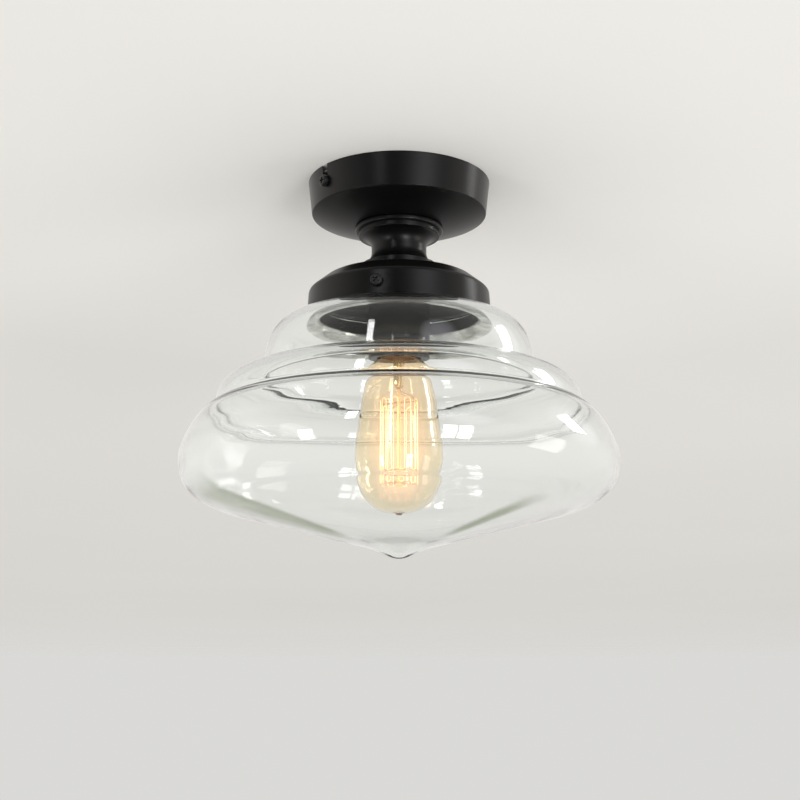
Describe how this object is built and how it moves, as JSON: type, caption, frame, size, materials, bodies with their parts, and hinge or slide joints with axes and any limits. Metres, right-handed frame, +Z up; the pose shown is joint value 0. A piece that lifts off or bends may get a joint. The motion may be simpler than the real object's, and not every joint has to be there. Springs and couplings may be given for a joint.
{
  "type": "schoolhouse ceiling light",
  "caption": "Flush schoolhouse ceiling light: round canopy, waisted neck, shade holder, stepped clear glass shade and a screw-in cage filament bulb.",
  "frame": {"origin": "on the light's axis, in the plane of the ceiling and of the canopy's rim", "axes": "+Z up into the ceiling, X along the mounting bracket, through both canopy screws"},
  "size_m": [0.2956, 0.2956, 0.2637],
  "materials": {
    "black_metal": "satin powder coat",
    "black_screw": "black oxide",
    "zinc_steel": "zinc plated",
    "green_screw": "green",
    "copper": "bare copper",
    "white_plastic": "plain",
    "black_phenolic": "gloss",
    "porcelain": "glazed",
    "brass": "plain",
    "nickel": "nickel plated",
    "black_sheath": "plain",
    "white_sheath": "plain",
    "orange_plastic": "plain",
    "black_glass": "gloss",
    "solder": "tinned",
    "amber_glass": "clear",
    "stem_glass": "clear",
    "filament": "lit",
    "clear_glass": "clear"
  },
  "bodies": {
    "fixture": {"ring_terminal": "zinc_steel", "threaded_nipple": "zinc_steel", "upper_lock_washer": "zinc_steel", "upper_nut": "zinc_steel", "lower_lock_washer": "zinc_steel", "lower_nut": "zinc_steel", "flat_washer": "zinc_steel", "mounting_bracket": "black_metal", "canopy": "black_metal", "neck": "black_metal", "shade_holder": "black_metal", "ground_screw": "green_screw", "ground_lead": "copper", "socket_set_screw": "zinc_steel", "nipple_bushing": "white_plastic", "socket_cap": "black_phenolic", "socket_body": "black_phenolic", "socket_insulator": "porcelain", "socket_screw_shell": "brass", "socket_centre_contact": "brass", "hot_terminal_screw": "brass", "neutral_terminal_screw": "nickel", "hot_lead": "black_sheath", "neutral_lead": "white_sheath", "hot_wire_connector": "orange_plastic", "neutral_wire_connector": "orange_plastic"},
    "bulb": {"bulb_base": "brass", "bulb_base_insulator": "black_glass", "bulb_envelope": "amber_glass", "bulb_stem": "stem_glass", "bulb_lead_wires": "nickel", "bulb_filament": "filament", "bulb_support_wires": "nickel"},
    "bulb_tip": {"bulb_tip_contact": "solder"},
    "shade": {"glass_shade": "clear_glass"},
    "shade_screw_1": {"shade_screw_1": "black_screw"},
    "shade_screw_2": {"shade_screw_2": "black_screw"},
    "shade_screw_3": {"shade_screw_3": "black_screw"},
    "canopy_screw_1": {"canopy_screw_1": "black_screw"},
    "canopy_screw_2": {"canopy_screw_2": "black_screw"}
  },
  "joints": [
    {"name": "bulb_lift", "type": "slide", "parent": "fixture", "child": "bulb_tip", "axis": [0, 0, -1], "range_m": [0, 0.01815]},
    {"name": "bulb_turn", "type": "hinge", "parent": "bulb_tip", "child": "bulb", "pos_m": [0, 0, -0.0937], "axis": [0, 0, -1], "range_deg": [0, 1800]},
    {"name": "shade_lower", "type": "slide", "parent": "fixture", "child": "shade", "axis": [0, 0, -1], "range_m": [0, 0.2]},
    {"name": "shade_screw_1_out", "type": "slide", "parent": "fixture", "child": "shade_screw_1", "axis": [-0.7694, -0.6388, 0], "range_m": [0, 0.005]},
    {"name": "shade_screw_2_out", "type": "slide", "parent": "fixture", "child": "shade_screw_2", "axis": [0.9252, -0.3795, 0], "range_m": [0, 0.005]},
    {"name": "shade_screw_3_out", "type": "slide", "parent": "fixture", "child": "shade_screw_3", "axis": [-0.1599, 0.9871, 0], "range_m": [0, 0.005]},
    {"name": "canopy_screw_1_out", "type": "slide", "parent": "fixture", "child": "canopy_screw_1", "axis": [-1, 0, 0], "range_m": [0, 0.004]},
    {"name": "canopy_screw_2_out", "type": "slide", "parent": "fixture", "child": "canopy_screw_2", "axis": [1, 0, 0], "range_m": [0, 0.004]}
  ],
  "couplings": [
    {"joint": "bulb_lift", "follows": "bulb_turn", "m_per_rad": 0.0005775}
  ]
}
